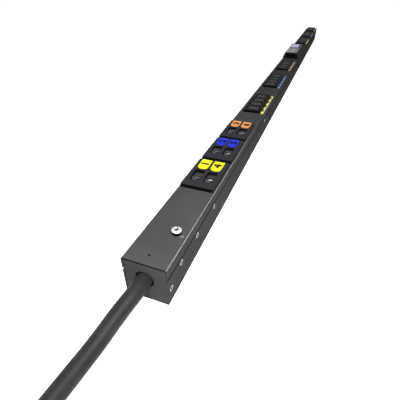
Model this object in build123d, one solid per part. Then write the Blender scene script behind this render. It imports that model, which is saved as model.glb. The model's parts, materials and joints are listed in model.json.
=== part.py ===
from build123d import *
import math
import os

# Vertical rack power distribution unit, millimetres.
# X across, Y along with the cord end at -Y, Z up from the back to the outlet face.
# The origin is the centre of the back face, so the unit lies on its back.

# Folded steel chassis
chassis_length = 1827.0
chassis_width = 52.0
chassis_depth = 53.0
base_sheet = 1.2
cover_sheet = 1.0
plate_sheet = 1.2
bend_inside = 0.8
flange_depth = 14.5
seam_gap = 0.6
sheet_clearance = 0.15
end_gap = 1.3
floor_clearance = 0.4

# End plates and their screws
tab_length = 14.0
tab_screw_along = 7.5
tab_screw_height = 19.5

# Countersunk M3 screws in the side walls
screw_head_radius = 2.7
screw_radius = 1.5
screw_length = 4.0
screw_hole_clearance = 0.1
recess_arm = 1.5
recess_slot = 0.7
recess_depth = 0.7
side_screw_height = 32.0
side_screws_along = [34.0, 80.5, 142.0, 470.0]
side_screws_from_far_end = [937.0, 537.0, 137.0]

# Rails inside the side walls that carry the outlet blocks
rail_sheet = 1.5
rail_ledge_reach = 4.6
rail_top_margin = 1.4
rail_end_margin = 18.0

# Cord entry
cord_diameter = 18.0
cord_hole_radius = 10.9
cord_hole_x = -0.5
cord_hole_height = 30.4
bushing_wall = 2.2
bushing_length = 16.0
bushing_throat = 8.0
bushing_clearance = 0.1
cable_end_length = 22.0

# Supply terminals
core_diameter = 3.6
core_circle_radius = 4.7
core_count = 5
core_overlap = 2.0
terminal_pitch = 8.0
terminal_start = 95.0
terminal_length = 30.0
terminal_height = 22.0
terminal_screw_radius = 2.2
terminal_screw_length = 6.0

# Earth stud on the cover
earth_along = 54.0
earth_x = 12.2
earth_shank_radius = 2.5
earth_insert_radius = 5.0
earth_neck_radius = 3.6
earth_insert_length = 4.0
earth_collar_radius = 5.4
earth_collar_height = 3.4
earth_washer_radius = 6.3
earth_washer_thickness = 0.9
earth_tooth_count = 16
earth_tooth_depth = 0.9
earth_flange_radius = 6.0
earth_flange_thickness = 1.0
earth_head_radius = 4.4
earth_head_height = 2.6
cover_pilot_radius = 0.9
cover_pilot_along = 13.4

# Breaker modules, two breakers side by side under one bezel
breaker_modules = 3
first_breaker_along = 141.5
bezel_length = 75.5
bezel_gap = 7.5
bezel_width = 47.0
bezel_rise = 5.3
bezel_wall = 1.8
bezel_edge = 0.8
breaker_spacing = 19.4
breaker_width = 19.0
breaker_length = 62.0
breaker_bottom = 16.0
breaker_window_clearance = 0.6
rocker_width = 12.6
rocker_length = 25.0
rocker_gap = 0.9
rocker_height = 4.4
rocker_valley = 2.8
rocker_keel = 3.4
rocker_pivot_drop = 4.8
rocker_tilt = 10.0
rocker_from_bezel = 28.5
rocker_near_radius = 5.6
rocker_far_radius = 1.2
trunnion_radius = 1.5
trunnion_length = 1.1
trunnion_clearance = 0.08
tag_width = 15.4
tag_rocker_gap = 4.8
tag_thickness = 0.9
tag_far_margin = 2.7
tag_near_radius = 6.4

# Outlet blocks, moulded in one piece with a row of sockets. Three stand on each side of
# the display, and the gaps between them share what the chassis leaves.
circuits = 3
first_outlet_along = 450.0
last_outlet_margin = 7.0
outlets_per_block = 4
outlet_pitch = 28.0
block_end_margin = 3.0
block_width = 36.0
block_rise = 5.3
block_edge = 0.8
block_shoulder_width = 43.0
block_shoulder_reach = 3.0
block_shoulder_thickness = 3.0
block_body_bottom = 27.0
window_clearance = 0.25
socket_width = 28.4
socket_height = 20.6
socket_core_width = 22.6
socket_core_height = 15.0
socket_chamfer = 5.0
socket_corner = 1.6
socket_depth = 17.0
socket_core_drop = 0.5
pin_hole_width = 2.6
pin_hole_height = 4.8
pin_spacing = 14.0
pin_row = -2.0
earth_pin_row = 2.0
contact_thickness = 0.6
contact_width = 4.0
contact_strip_thickness = 0.8
contact_strip_width = 3.0
contact_drop = 2.0

# Label strips beside the outlet blocks
strip_width = 5.2
strip_height = 1.6
strip_gap = 0.9
strip_edge = 0.5

# Display module
display_gap_before = 57.0
display_gap_after = 120.0
display_length = 187.0
display_width = 50.0
display_top_width = 40.0
display_rise = 18.0
display_skirt = 4.5
display_wall = 2.0
display_edge = 1.2
display_window_margin = 3.0
glass_along = 97.0
glass_length = 80.0
glass_width = 37.0
glass_thickness = 1.5
glass_ledge = 1.5
panel_clearance = 0.1
screen_thickness = 6.0
leg_radius = 1.2
leg_inset = 3.0
keypad_along = 8.0
keypad_length = 84.0
keypad_width = 37.0
keypad_thickness = 1.2
keypad_proud = 0.3
button_radius = 4.0
button_gap = 0.25
button_proud = 1.2
button_flange = 1.1
button_flange_thickness = 0.8
button_stem_radius = 1.5
button_travel = 0.9
button_spacing_x = 16.0
buttons_from_keypad = [26.0, 66.0]
board_thickness = 1.6
board_height = 2.4
board_margin = 4.0
switch_side = 6.0
switch_height = 1.0
socket_block_length = 16.0
socket_block_width = 37.0
port_width = 11.7
port_height = 8.2
port_depth = 13.0
port_latch_width = 5.6
port_latch_height = 1.6
port_pitch = 14.6
port_clearance = 0.25
port_floor = 2.0

# Clinch nuts in the back for mounting buttons or brackets
insert_from_end = 135.5
insert_second_step = 44.45
insert_bore_radius = 2.1
insert_shank_radius = 3.2
insert_head_radius = 4.75
insert_head_height = 3.0
insert_clearance = 0.05

# Supply cord, coil and plug
coil_mean_radius = 93.8
coil_margin = 0.3
coil_entry_stub = 64.0
coil_exit_stub = 76.0
coil_centre_y = -310.0
cord_floor_gap = 0.2
tie_wall = 1.6
tie_width = 14.0
tie_clearance = 0.7
plug_radius = 27.3
plug_grip_radius = 22.0
plug_length = 128.0
plug_shroud_depth = 42.0
plug_shroud_wall = 3.0
plug_nut_radius = 17.0
plug_nut_length = 22.0
plug_pin_radius = 2.5
plug_pin_circle = 15.0
plug_pin_length = 32.0
plug_pin_count = 5
plug_rib_count = 12
plug_rib_width = 2.0
plug_rib_depth = 1.0
plug_rib_start = 7.0
plug_nut_taper = 5.0
plug_grip_taper = 10.0
plug_flare_start = 22.0
plug_flare_end = 8.0

# Heights and halves that several pieces share
half_width = chassis_width / 2
half_length = chassis_length / 2
seam_height = chassis_depth - flange_depth
cover_underside = chassis_depth - cover_sheet
joggle_depth = cover_sheet + sheet_clearance
joggle_start = seam_height - seam_gap - joggle_depth
wall_inside = half_width - base_sheet
tongue_inside = wall_inside - joggle_depth
bezel_top = chassis_depth + bezel_rise
bezel_underside = bezel_top - bezel_wall
breaker_pitch = bezel_length + bezel_gap
tag_length = bezel_length - rocker_from_bezel - rocker_length / 2 - tag_rocker_gap - tag_far_margin
block_top = chassis_depth + block_rise
block_length = outlets_per_block * outlet_pitch + 2 * block_end_margin
outlet_zone = chassis_length - first_outlet_along - last_outlet_margin
display_zone = display_gap_before + display_length + display_gap_after
block_gap = (outlet_zone - display_zone - 2 * circuits * block_length) / (2 * circuits - 2)
block_step = block_length + block_gap
display_along = first_outlet_along + circuits * block_step - block_gap + display_gap_before
far_row_along = display_along + display_length + display_gap_after
outlet_groups_along = [start + place * block_step
                       for start in (first_outlet_along, far_row_along)
                       for place in range(circuits)]
display_top = chassis_depth + display_rise
display_roof = display_top - display_wall
plate_top = cover_underside - end_gap
shank_hole_radius = screw_radius + screw_hole_clearance
cord_radius = cord_diameter / 2
terminal_top = base_sheet + terminal_height
earth_y = earth_along - half_length


def along(distance):
    """Y of a place given by its distance from the cord end."""
    return distance - half_length


def slab(width, length, low, high, x=0.0, y=0.0):
    """Upright prism on a rectangle centred at x, y."""
    outline = Pos(x, y, low) * Rectangle(width, length)
    return extrude(outline, high - low)


def rod(radius, low, high, x=0.0, y=0.0):
    """Upright cylinder."""
    return extrude(Pos(x, y, low) * Circle(radius), high - low)


def sheet_section(points, sheet):
    """Section of a folded sheet along the middle line through the points."""
    path = FilletPolyline(*points, radius=bend_inside + sheet / 2)
    return trace(path, line_width=sheet)


def save(node, shape):
    """Write one node's STEP file."""
    shape.label = node
    export_step(shape, f"parts/{node}.step")


def gather(solids):
    """Several separate solids as one shape."""
    return Compound(children=list(solids))


def lengthwise(section, start, length):
    """Extrude a section drawn in XZ along Y from start."""
    placed = Plane(origin=(0, start, 0), x_dir=(1, 0, 0), z_dir=(0, -1, 0)) * section
    return extrude(placed, -length)


def side_places(distances, height):
    """Side and place of each screw of a row that repeats on both walls."""
    return [(side, along(d), height) for d in distances for side in (-1, 1)]


tab_screw_places = side_places([tab_screw_along, chassis_length - tab_screw_along],
                               tab_screw_height)
wall_screw_places = side_places(
    side_screws_along + [chassis_length - d for d in side_screws_from_far_end],
    side_screw_height)


def sideways(shape, side, y, height):
    """Place a shape whose +Z points out of the side wall at a screw position."""
    return Location((side * half_width, y, height), (0, side * 90, 0)) * shape


def taper(low_radius, high_radius):
    """Cone that runs through the side wall, up to its outside."""
    return Pos(0, 0, -base_sheet / 2) * Cone(low_radius, high_radius, base_sheet)


def countersink():
    """Tapered seat through the side wall, with the shank hole behind it."""
    seat = taper(shank_hole_radius, screw_head_radius + screw_hole_clearance)
    return seat + rod(shank_hole_radius, -2 * base_sheet, -base_sheet / 2)


def flat_screw():
    """Countersunk screw with a cross recess, flush with the wall."""
    shank = rod(screw_radius, -screw_length, -base_sheet / 2)
    head = taper(screw_radius, screw_head_radius)
    cross = Rectangle(2 * recess_arm, recess_slot) + Rectangle(recess_slot, 2 * recess_arm)
    return shank + head - extrude(cross, -recess_depth)


# Base channel: back and two side walls, stepped in under the cover's flanges
def make_base():
    wall_middle = half_width - base_sheet / 2
    tongue_middle = wall_middle - joggle_depth
    tongue_top = cover_underside - bend_inside
    right = [(wall_middle, base_sheet / 2), (wall_middle, joggle_start),
             (tongue_middle, joggle_start + joggle_depth), (tongue_middle, tongue_top)]
    left = [(-x, z) for x, z in reversed(right)]
    body = lengthwise(sheet_section(left + right, base_sheet), -half_length, chassis_length)
    notch_depth = plate_sheet + sheet_clearance * 2
    notch_low = joggle_start - base_sheet
    for end in (-1, 1):
        y = end * (half_length - notch_depth / 2)
        body -= slab(chassis_width + 2, notch_depth, notch_low, chassis_depth, y=y)
    for side, y, height in tab_screw_places + wall_screw_places:
        body -= sideways(countersink(), side, y, height)
    for y in insert_places:
        body -= rod(insert_shank_radius + insert_clearance, -1, base_sheet + 1, y=y)
    return body


insert_half_span = half_length - insert_from_end
insert_places = [side * (insert_half_span - step)
                 for side in (-1, 1) for step in (0, insert_second_step)]


# Front cover: one folded sheet with windows for everything that looks out
def make_cover():
    flange_middle = half_width - cover_sheet / 2
    top_middle = chassis_depth - cover_sheet / 2
    right = [(flange_middle, top_middle), (flange_middle, seam_height)]
    left = [(-x, z) for x, z in reversed(right)]
    body = lengthwise(sheet_section(left + right, cover_sheet), -half_length, chassis_length)
    low = cover_underside - 1
    high = chassis_depth + 1
    for index in range(breaker_modules):
        body -= slab(*breaker_window_size, low, high, y=bezel_centre(index))
    for distance in outlet_groups_along:
        window = RectangleRounded(block_width + 2 * window_clearance,
                                  block_length + 2 * window_clearance, block_edge)
        body -= extrude(Pos(0, block_centre(distance), low) * window, high - low)
    body -= slab(*display_window_size, low, high, y=display_centre)
    body -= rod(earth_neck_radius + insert_clearance, low, high, earth_x, earth_y)
    body -= rod(cover_pilot_radius, low, high, 0, along(cover_pilot_along))
    return body


def bezel_centre(index):
    """Middle of a breaker module along Y."""
    return along(first_breaker_along + index * breaker_pitch + bezel_length / 2)


def block_centre(distance):
    """Middle of an outlet block along Y."""
    return along(distance + block_length / 2)


breaker_window_size = (breaker_spacing + breaker_width + 2 * breaker_window_clearance,
                       breaker_length + 2 * breaker_window_clearance)
display_centre = along(display_along + display_length / 2)
display_window_size = (display_top_width - 2 * display_window_margin,
                       display_length - 4 * display_window_margin)


# End plates: a face with two tabs folded inwards along the side walls
def make_end_plate(end, with_cord):
    outer = wall_inside - sheet_clearance
    middle = outer - plate_sheet / 2
    face_y = half_length - plate_sheet / 2
    tab_y = half_length - tab_length
    points = [(-middle, tab_y), (-middle, face_y), (middle, face_y), (middle, tab_y)]
    section = sheet_section([(x, end * y) for x, y in points], plate_sheet)
    low = base_sheet + floor_clearance
    body = extrude(Pos(0, 0, low) * section, plate_top - low)
    tab_top = joggle_start - base_sheet - floor_clearance
    behind_y = end * (half_length - plate_sheet - tab_length / 2)
    body -= slab(chassis_width, tab_length, tab_top, chassis_depth, y=behind_y)
    for side, y, height in tab_screw_places:
        if y * end > 0:
            hole = rod(shank_hole_radius, -screw_length - base_sheet, -base_sheet / 2)
            body -= sideways(hole, side, y, height)
    if with_cord:
        hole = Location((cord_hole_x, -half_length + 1, cord_hole_height), (90, 0, 0))
        body -= hole * rod(cord_hole_radius, -4, 4)
    return body


# Rails: angle sections against the side walls, with a ledge under the blocks
def make_rail(side):
    wall = wall_inside - rail_sheet / 2
    ledge = wall_inside - rail_ledge_reach
    ledge_middle = block_body_bottom - rail_sheet / 2
    top = joggle_start - rail_top_margin
    section = sheet_section([(side * ledge, ledge_middle), (side * wall, ledge_middle),
                             (side * wall, top)], rail_sheet)
    start = -half_length + rail_end_margin
    body = lengthwise(section, start, chassis_length - 2 * rail_end_margin)
    for screw_side, y, height in wall_screw_places:
        if screw_side == side:
            hole = rod(shank_hole_radius, -screw_length - base_sheet, -base_sheet / 2)
            body -= sideways(hole, side, y, height)
    return body


def towards_cord(shape, y):
    """Turn a shape drawn along +Z to point out of the cord end at y."""
    return Location((cord_hole_x, y, cord_hole_height), (90, 0, 0)) * shape


# Cord bushing: a flared strain relief behind the end plate
def make_bushing():
    outside = cord_hole_radius + bushing_wall
    grip = cord_radius + bushing_clearance
    mouth = cord_hole_radius - bushing_clearance
    back = -plate_sheet - bushing_length
    points = [(mouth, -plate_sheet), (outside, -plate_sheet), (outside, -plate_sheet - 3),
              (mouth + 1, -plate_sheet - 4), (mouth + 1, back), (grip, back),
              (grip, -bushing_throat - plate_sheet)]
    profile = make_face(Polyline(*[(r, 0, z) for r, z in points], close=True))
    return towards_cord(revolve(profile, Axis.Z), -half_length)


throat_y = -half_length + plate_sheet + bushing_throat


def make_cable_end():
    """Cable sheath gripped by the bushing, with the cores that leave it inside."""
    body = towards_cord(rod(cord_radius, -cable_end_length, 0), throat_y)
    for index in range(core_count):
        body += make_core(index)
    return body


# Terminal block on the floor of the base
def terminal_x(index):
    return (index - (core_count - 1) / 2) * terminal_pitch


terminal_entry_height = base_sheet + terminal_height * 0.45
terminal_y = along(terminal_start + terminal_length / 2)


def make_terminal_block():
    body = slab(core_count * terminal_pitch + 2, terminal_length, base_sheet, terminal_top,
                y=terminal_y)
    body = chamfer(body.edges().filter_by(Axis.X).group_by(Axis.Z)[-1], 4)
    for index in range(core_count):
        body -= rod(terminal_screw_radius + screw_hole_clearance,
                    terminal_top - terminal_screw_length, terminal_top + 1,
                    terminal_x(index), terminal_y)
    return body


def make_terminal_screws():
    screws = []
    for index in range(core_count):
        low = terminal_top - terminal_screw_length
        screw = rod(terminal_screw_radius, low, terminal_top - 1, terminal_x(index), terminal_y)
        slot = slab(2 * terminal_screw_radius, recess_slot, terminal_top - 2, terminal_top,
                    terminal_x(index), terminal_y)
        screws.append(screw - slot)
    return gather(screws)


def make_core(index):
    """Insulated core from the cable's end to its terminal."""
    start_y = throat_y + cable_end_length
    end_y = terminal_y - terminal_length / 2
    span = end_y - start_y
    angle = math.radians(180 - index * 180 / (core_count - 1))
    x0 = cord_hole_x + core_circle_radius * math.cos(angle)
    z0 = cord_hole_height + core_circle_radius * math.sin(angle)
    x1 = terminal_x(index)
    z1 = terminal_entry_height
    points = [(x0, start_y - core_overlap, z0), (x0, start_y + span * 0.2, z0),
              (x1, end_y - span * 0.2, z1), (x1, end_y, z1)]
    path = Polyline(*points)
    ring = Plane(origin=path @ 0, z_dir=path % 0) * Circle(core_diameter / 2)
    return sweep(ring, path, transition=Transition.RIGHT)


# Earth stud: riveted bush, toothed washer and screw
collar_top = chassis_depth + earth_collar_height
washer_top = collar_top + earth_washer_thickness
flange_top = washer_top + earth_flange_thickness


def make_earth_bush():
    """Riveted bush: a collar on the cover, a neck in its hole and a body behind."""
    low = cover_underside - earth_insert_length
    body = rod(earth_insert_radius, low, cover_underside, earth_x, earth_y)
    body += rod(earth_neck_radius, cover_underside, chassis_depth, earth_x, earth_y)
    body += rod(earth_collar_radius, chassis_depth, collar_top, earth_x, earth_y)
    return body - rod(earth_shank_radius + screw_hole_clearance, low - 1, collar_top + 1,
                      earth_x, earth_y)


def make_earth_washer():
    points = []
    for index in range(2 * earth_tooth_count):
        angle = math.pi * index / earth_tooth_count
        radius = earth_washer_radius - (index % 2) * earth_tooth_depth
        points.append((earth_x + radius * math.cos(angle), earth_y + radius * math.sin(angle)))
    outline = make_face(Polyline(*points, close=True))
    body = extrude(Pos(0, 0, collar_top) * outline, earth_washer_thickness)
    return body - rod(earth_shank_radius + screw_hole_clearance, collar_top - 1,
                      washer_top + 1, earth_x, earth_y)


def make_earth_screw():
    low = cover_underside - earth_insert_length
    shank = rod(earth_shank_radius, low, washer_top + 0.2, earth_x, earth_y)
    flange = rod(earth_flange_radius, washer_top, flange_top, earth_x, earth_y)
    flange = chamfer(flange.edges().group_by(Axis.Z)[-1], earth_flange_thickness * 0.4)
    hexagon = Pos(earth_x, earth_y, flange_top - 0.1) * RegularPolygon(earth_head_radius, 6)
    head = extrude(hexagon, earth_head_height + 0.1)
    arm = earth_head_radius * 0.55
    cross = Rectangle(2 * arm, recess_slot * 1.5) + Rectangle(recess_slot * 1.5, 2 * arm)
    pocket = extrude(Pos(earth_x, earth_y, flange_top + earth_head_height) * cross,
                     -earth_head_height * 0.6)
    return shank + flange + head - pocket


# Breaker modules
def rocker_outline(width, length, near_radius, far_radius):
    """Plan of a rocker: round at the near end, nearly square at the far end."""
    plan = Rectangle(width, length)
    plan = fillet(plan.vertices().group_by(Axis.Y)[0], near_radius)
    return fillet(plan.vertices().group_by(Axis.Y)[-1], far_radius)


rocker_axis_height = bezel_top - rocker_pivot_drop
rocker_opening = rocker_outline(rocker_width + 2 * rocker_gap, rocker_length + 3 * rocker_gap,
                                rocker_near_radius + rocker_gap, rocker_far_radius + rocker_gap)


def rocker_place(index, side):
    """Pivot of a rocker; side is -1 for the left breaker and 1 for the right."""
    y = bezel_centre(index) - bezel_length / 2 + rocker_from_bezel
    return side * breaker_spacing / 2, y


def make_bezel(index):
    y = bezel_centre(index)
    outline = RectangleRounded(bezel_width, bezel_length, bezel_edge * 2)
    body = extrude(Pos(0, y, chassis_depth) * outline, bezel_rise)
    body = fillet(body.edges().group_by(Axis.Z)[-1], bezel_edge)
    inner_width, inner_length = breaker_window_size
    body -= slab(inner_width, inner_length, chassis_depth - 1, bezel_underside, y=y)
    for side in (-1, 1):
        x, rocker_y = rocker_place(index, side)
        body -= extrude(Pos(x, rocker_y, bezel_underside - 1) * rocker_opening, bezel_wall + 2)
    return body


def make_breaker(index, side):
    x, rocker_y = rocker_place(index, side)
    y = bezel_centre(index)
    body = slab(breaker_width, breaker_length, breaker_bottom, bezel_underside, x, y)
    pocket_floor = rocker_axis_height - rocker_keel - rocker_gap * 2
    pocket = Pos(x, rocker_y, pocket_floor) * rocker_opening
    body -= extrude(pocket, bezel_top - pocket_floor)
    reach = rocker_width / 2 + trunnion_length + 2 * rocker_gap
    bore = Location((x, rocker_y, rocker_axis_height), (0, 90, 0))
    body -= bore * rod(trunnion_radius + trunnion_clearance, -reach, reach)
    return body


def make_rocker(index, side):
    x, y = rocker_place(index, side)
    half = rocker_length / 2
    points = [(-half, rocker_height), (0, rocker_valley), (half, rocker_height),
              (half, rocker_height - 3.4), (half * 0.45, -rocker_keel),
              (-half * 0.45, -rocker_keel), (-half, rocker_height - 3.4)]
    profile = make_face(Polyline(*[(0, u, w) for u, w in points], close=True))
    body = extrude(profile, rocker_width / 2, both=True, dir=(1, 0, 0))
    plan = rocker_outline(rocker_width, rocker_length, rocker_near_radius, rocker_far_radius)
    body &= extrude(Pos(0, 0, -10) * plan, 20)
    reach = rocker_width / 2 + trunnion_length + rocker_gap
    body += Rot(0, 90, 0) * rod(trunnion_radius, -reach, reach)
    return Location((x, y, rocker_axis_height), (-rocker_tilt, 0, 0)) * body


def make_tags(index):
    tags = []
    far = bezel_centre(index) + bezel_length / 2 - tag_far_margin
    for side in (-1, 1):
        x = side * breaker_spacing / 2
        plan = Rectangle(tag_width, tag_length)
        plan = fillet(plan.vertices().group_by(Axis.Y)[0], tag_near_radius)
        tags.append(extrude(Pos(x, far - tag_length / 2, bezel_top) * plan, tag_thickness))
    return gather(tags)


# Outlet blocks
def socket_outline(width, height, bevel, corner):
    """Six-sided outline of a socket, bevelled at two corners."""
    w = width / 2
    h = height / 2
    points = [(-w, -h), (w, -h), (w, h - bevel), (w - bevel, h), (-w + bevel, h), (-w, h - bevel)]
    face = make_face(Polyline(*points, close=True))
    return fillet(face.vertices().group_by(Axis.Y)[0], corner)


slot_gap = (socket_width - socket_core_width) / 2
socket_outer = socket_outline(socket_width, socket_height, socket_chamfer + slot_gap / 2,
                              socket_corner + 0.8)
socket_core = socket_outline(socket_core_width, socket_core_height, socket_chamfer, socket_corner)
pin_places = [(-pin_spacing / 2, pin_row), (pin_spacing / 2, pin_row), (0, earth_pin_row)]


def outlet_y(distance, number):
    """Middle of one outlet of a block."""
    return along(distance + block_end_margin + (number + 0.5) * outlet_pitch)


def make_outlet_block(distance):
    y = block_centre(distance)
    shoulder_bottom = cover_underside - block_shoulder_thickness
    face = RectangleRounded(block_width, block_length, block_edge * 1.2)
    body = extrude(Pos(0, y, shoulder_bottom) * face, block_top - shoulder_bottom)
    body = fillet(body.edges().group_by(Axis.Z)[-1], block_edge)
    shoulder_length = block_length + 2 * block_shoulder_reach
    body += slab(block_shoulder_width, shoulder_length, shoulder_bottom, cover_underside, y=y)
    body += slab(block_shoulder_width, block_length, block_body_bottom,
                 shoulder_bottom + 0.5, y=y)
    for number in range(outlets_per_block):
        place = Pos(0, outlet_y(distance, number), block_top)
        body -= extrude(place * (socket_outer - socket_core), -socket_depth)
        body -= extrude(place * socket_core, -socket_core_drop)
        for x, row in pin_places:
            body -= slab(pin_hole_width, pin_hole_height, block_body_bottom - 1, block_top,
                         x, outlet_y(distance, number) + row)
    return body


def make_contacts(column):
    """Stamped strips of one pole, with a spring leaf in each pin hole."""
    x, row = pin_places[column]
    leaf_x = x + (pin_hole_width - contact_thickness) / 2 - sheet_clearance
    strips = []
    for distance in outlet_groups_along:
        low = block_body_bottom - contact_strip_thickness
        strip = slab(contact_strip_width, block_length - 2 * block_end_margin, low,
                     block_body_bottom, x, block_centre(distance))
        for number in range(outlets_per_block):
            leaf_y = outlet_y(distance, number) + row
            strip += slab(contact_thickness, contact_width, low,
                          block_top - socket_depth + contact_drop, leaf_x, leaf_y)
        strips.append(strip)
    return gather(strips)


def make_label_strip(distance):
    x = block_width / 2 + strip_gap + strip_width / 2
    strip = slab(strip_width, block_length, chassis_depth, chassis_depth + strip_height,
                 x, block_centre(distance))
    return fillet(strip.edges().group_by(Axis.Z)[-1], strip_edge)


# Display module
def tapered_section(base_width, top_width, low, knee, high):
    """Upright sides up to the knee, then sides that lean in to the top."""
    b = base_width / 2
    t = top_width / 2
    return make_face(Polyline((-b, low), (-b, knee), (-t, high), (t, high), (b, knee), (b, low),
                              close=True))


display_start = along(display_along)
display_end = display_start + display_length
display_knee = chassis_depth + display_skirt
keypad_centre = display_start + keypad_along + keypad_length / 2
glass_centre = display_start + glass_along + glass_length / 2
board_top = chassis_depth + board_height
port_low = board_top + port_floor
button_places = [(side * button_spacing_x / 2, display_start + keypad_along + step)
                 for step in buttons_from_keypad for side in (-1, 1)]
port_centres = [side * port_pitch / 2 for side in (-1, 1)]


def port_outline(extra):
    """Network socket opening with the recess for the latch."""
    body = Rectangle(port_width + 2 * extra, port_height + 2 * extra)
    latch = Rectangle(port_latch_width + 2 * extra, port_latch_height + port_height)
    return body + Pos(0, port_latch_height / 2 + extra / 2) * latch


def port_cut(x, extra, start, depth):
    """Cut of one network socket, from start inwards along Y."""
    height = port_low + port_height / 2
    section = Pos(x, height) * port_outline(extra)
    return lengthwise(section, start, depth)


def make_display_housing():
    outer = tapered_section(display_width, display_top_width, chassis_depth, display_knee,
                            display_top)
    body = lengthwise(outer, display_start, display_length)
    body = fillet(body.edges().group_by(Axis.Z)[-1], display_edge)
    inner = tapered_section(display_width - 2 * display_wall,
                            display_top_width - 2 * display_wall, chassis_depth - 1,
                            display_knee, display_roof)
    body -= lengthwise(inner, display_start + display_wall, display_length - 2 * display_wall)
    body -= slab(glass_width, glass_length, display_top - glass_thickness, display_top + 1,
                 y=glass_centre)
    body -= slab(glass_width - 2 * glass_ledge, glass_length - 2 * glass_ledge,
                 display_roof - 1, display_top + 1, y=glass_centre)
    pad_floor = display_top + keypad_proud - keypad_thickness
    body -= slab(keypad_width, keypad_length, pad_floor, display_top + 1, y=keypad_centre)
    for x, y in button_places:
        body -= rod(button_radius + button_gap, display_roof - 1, display_top + 1, x, y)
    for x in port_centres:
        body -= port_cut(x, port_clearance, display_start - 1, display_wall + 2)
    return body


def make_glass():
    return slab(glass_width - 2 * panel_clearance, glass_length - 2 * panel_clearance,
                display_top - glass_thickness, display_top - panel_clearance, y=glass_centre)


def make_screen():
    """Screen module under the glass, on four legs that stand on the board."""
    width = glass_width - 2 * glass_ledge - 2 * panel_clearance
    length = glass_length - 2 * glass_ledge - 2 * panel_clearance
    high = display_top - glass_thickness
    body = slab(width, length, high - screen_thickness, high, y=glass_centre)
    for side in (-1, 1):
        for end in (-1, 1):
            body += rod(leg_radius, board_top, high - screen_thickness / 2,
                        side * (width / 2 - leg_inset), glass_centre + end * (length / 2 - leg_inset))
    return body


def make_keypad():
    low = display_top + keypad_proud - keypad_thickness
    pad = slab(keypad_width - 2 * panel_clearance, keypad_length - 2 * panel_clearance, low,
               display_top + keypad_proud, y=keypad_centre)
    for x, y in button_places:
        pad -= rod(button_radius + button_gap, low - 1, display_top + 1, x, y)
    return pad


def make_button(x, y):
    top = display_top + button_proud
    flange_high = display_roof - sheet_clearance
    flange_low = flange_high - button_flange_thickness
    cap = rod(button_radius, flange_low, top, x, y)
    cap = fillet(cap.edges().group_by(Axis.Z)[-1], 0.8)
    flange = rod(button_radius + button_flange, flange_low, flange_high, x, y)
    stem = rod(button_stem_radius, board_top + switch_height + button_travel + 0.1,
               flange_low + 0.1, x, y)
    return cap + flange + stem


def make_board():
    """Circuit board with its four key switches and the posts it stands on."""
    length = display_length - 2 * board_margin
    body = slab(display_top_width - 2 * display_wall, length, board_top - board_thickness,
                board_top, y=display_centre)
    for x, y in button_places:
        body += slab(switch_side, switch_side, board_top - 0.2, board_top + switch_height, x, y)
    post_x = display_window_size[0] / 2 + leg_radius
    for side in (-1, 1):
        for end in (-1, 1):
            body += rod(leg_radius, chassis_depth, board_top - board_thickness / 2, side * post_x,
                        display_centre + end * (length / 2 - 2 * leg_inset))
    return body


def make_network_sockets():
    start = display_start + display_wall
    high = port_low + port_height + port_latch_height + 1.4
    body = slab(socket_block_width - 5.0, socket_block_length, board_top, high,
                y=start + socket_block_length / 2)
    for x in port_centres:
        body -= port_cut(x, 0.0, start - 1, port_depth + 1)
    return body


# Clinch nuts
def make_inserts():
    nuts = []
    for y in insert_places:
        nut = rod(insert_shank_radius, 0.1, base_sheet + 0.1, y=y)
        nut += rod(insert_head_radius, base_sheet, base_sheet + insert_head_height, y=y)
        nuts.append(nut - rod(insert_bore_radius, -1, base_sheet + insert_head_height + 1, y=y))
    return gather(nuts)


def screw_set(places):
    """Screws at all the given places, as separate solids."""
    return gather(sideways(flat_screw(), side, y, height) for side, y, height in places)


# Supply cord: route in distances from the cord end, outwards negative
floor_height = cord_radius + cord_floor_gap
cord_route = [(cord_hole_x, throat_y, cord_hole_height),
              (cord_hole_x, along(-14.0), cord_hole_height),
              (-6.9, along(-40.0), 23.6), (-13.0, along(-68.0), 13.3),
              (-18.3, along(-100.0), floor_height), (-21.8, along(-140.0), floor_height),
              (-27.5, along(-184.0), floor_height), (-30.5, along(-214.0), floor_height),
              (-30.5, along(coil_centre_y) + coil_entry_stub, floor_height)]
coil_entry_x = cord_route[-1][0]
coil_outer_turn = coil_mean_radius + cord_radius
coil_layer = 2 * cord_radius + coil_margin
plug_axis_height = floor_height + coil_layer
coil_centre = (coil_entry_x + coil_outer_turn, along(coil_centre_y))


def corner_radii(points):
    """Largest arc that each corner's two runs allow."""
    radii = []
    for a, b, c in zip(points, points[1:], points[2:]):
        before = Vector(*b) - Vector(*a)
        after = Vector(*c) - Vector(*b)
        half_turn = math.radians(before.get_angle(after)) / 2
        radii.append(0.45 * min(before.length, after.length) / math.tan(half_turn))
    return radii


def make_cord():
    radii = corner_radii(cord_route)
    path = FilletPolyline(*cord_route, radius=radii)
    ring = Plane(origin=path @ 0, z_dir=path % 0) * Circle(cord_radius)
    tube = sweep(ring, path)
    section_volume = math.pi * cord_radius ** 2 * path.length
    print("cord radii", [round(r) for r in radii], "length", round(path.length),
          "volume ratio", round(tube.volume / section_volume, 5))
    return tube


def bevelled_face(width, height, bevel):
    """Rectangle standing on the X axis, with its four corners cut off."""
    face = Pos(0, height / 2) * Rectangle(width, height)
    return chamfer(face.vertices(), bevel)


def coil_lanes(grown):
    """Section of the coil: two layers of turns, with a third on the inner lane."""
    lane = 2 * cord_radius + coil_margin
    bevel = cord_radius * 0.5
    low_height = floor_height + coil_layer + cord_radius + coil_margin
    high_height = low_height + coil_layer
    pair = bevelled_face(2 * (lane + grown), low_height + 2 * grown, bevel)
    inner = bevelled_face(lane + coil_margin + 2 * grown, high_height + 2 * grown, bevel)
    return Pos(0, -grown) * (pair + Pos(-(lane - coil_margin) / 2, 0) * inner)


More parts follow.
